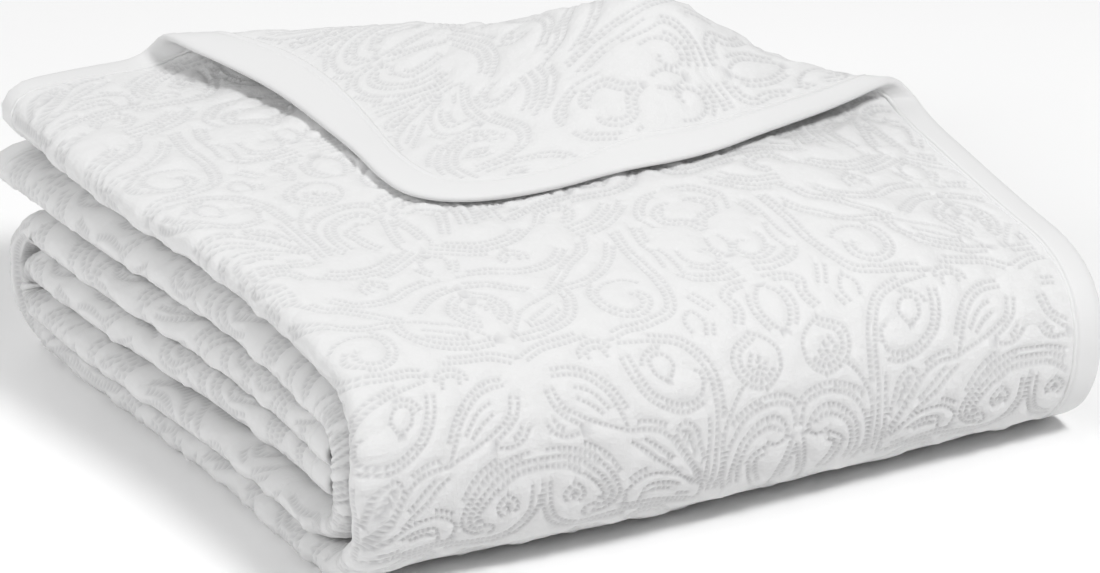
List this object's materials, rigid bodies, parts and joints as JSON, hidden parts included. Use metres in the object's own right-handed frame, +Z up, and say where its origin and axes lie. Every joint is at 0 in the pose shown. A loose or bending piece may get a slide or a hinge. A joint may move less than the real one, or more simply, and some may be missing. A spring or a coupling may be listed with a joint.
{
  "type": "folded quilted bedspread",
  "caption": "White quilted bedspread with a bound edge, folded in panels and then in thirds, with one corner turned back over the top.",
  "frame": {"origin": "centre of the footprint's bounding box, on the surface that the folded bundle lies on", "axes": "+X along the front fold, from the side rolls to the open side; +Y from the front fold to the back; +Z up"},
  "size_m": [0.6354, 0.5724, 0.26],
  "materials": {
    "quilted_cotton": "plain-weave brushed cotton, quilted in rows of short stitches, matt with a faint sheen",
    "binding_cotton": "plain-weave cotton strip, smooth, topstitched along its inner edge"
  },
  "bodies": {
    "root": {"quilted_cloth": "quilted_cotton", "edge_binding": "binding_cotton"}
  },
  "joints": []
}
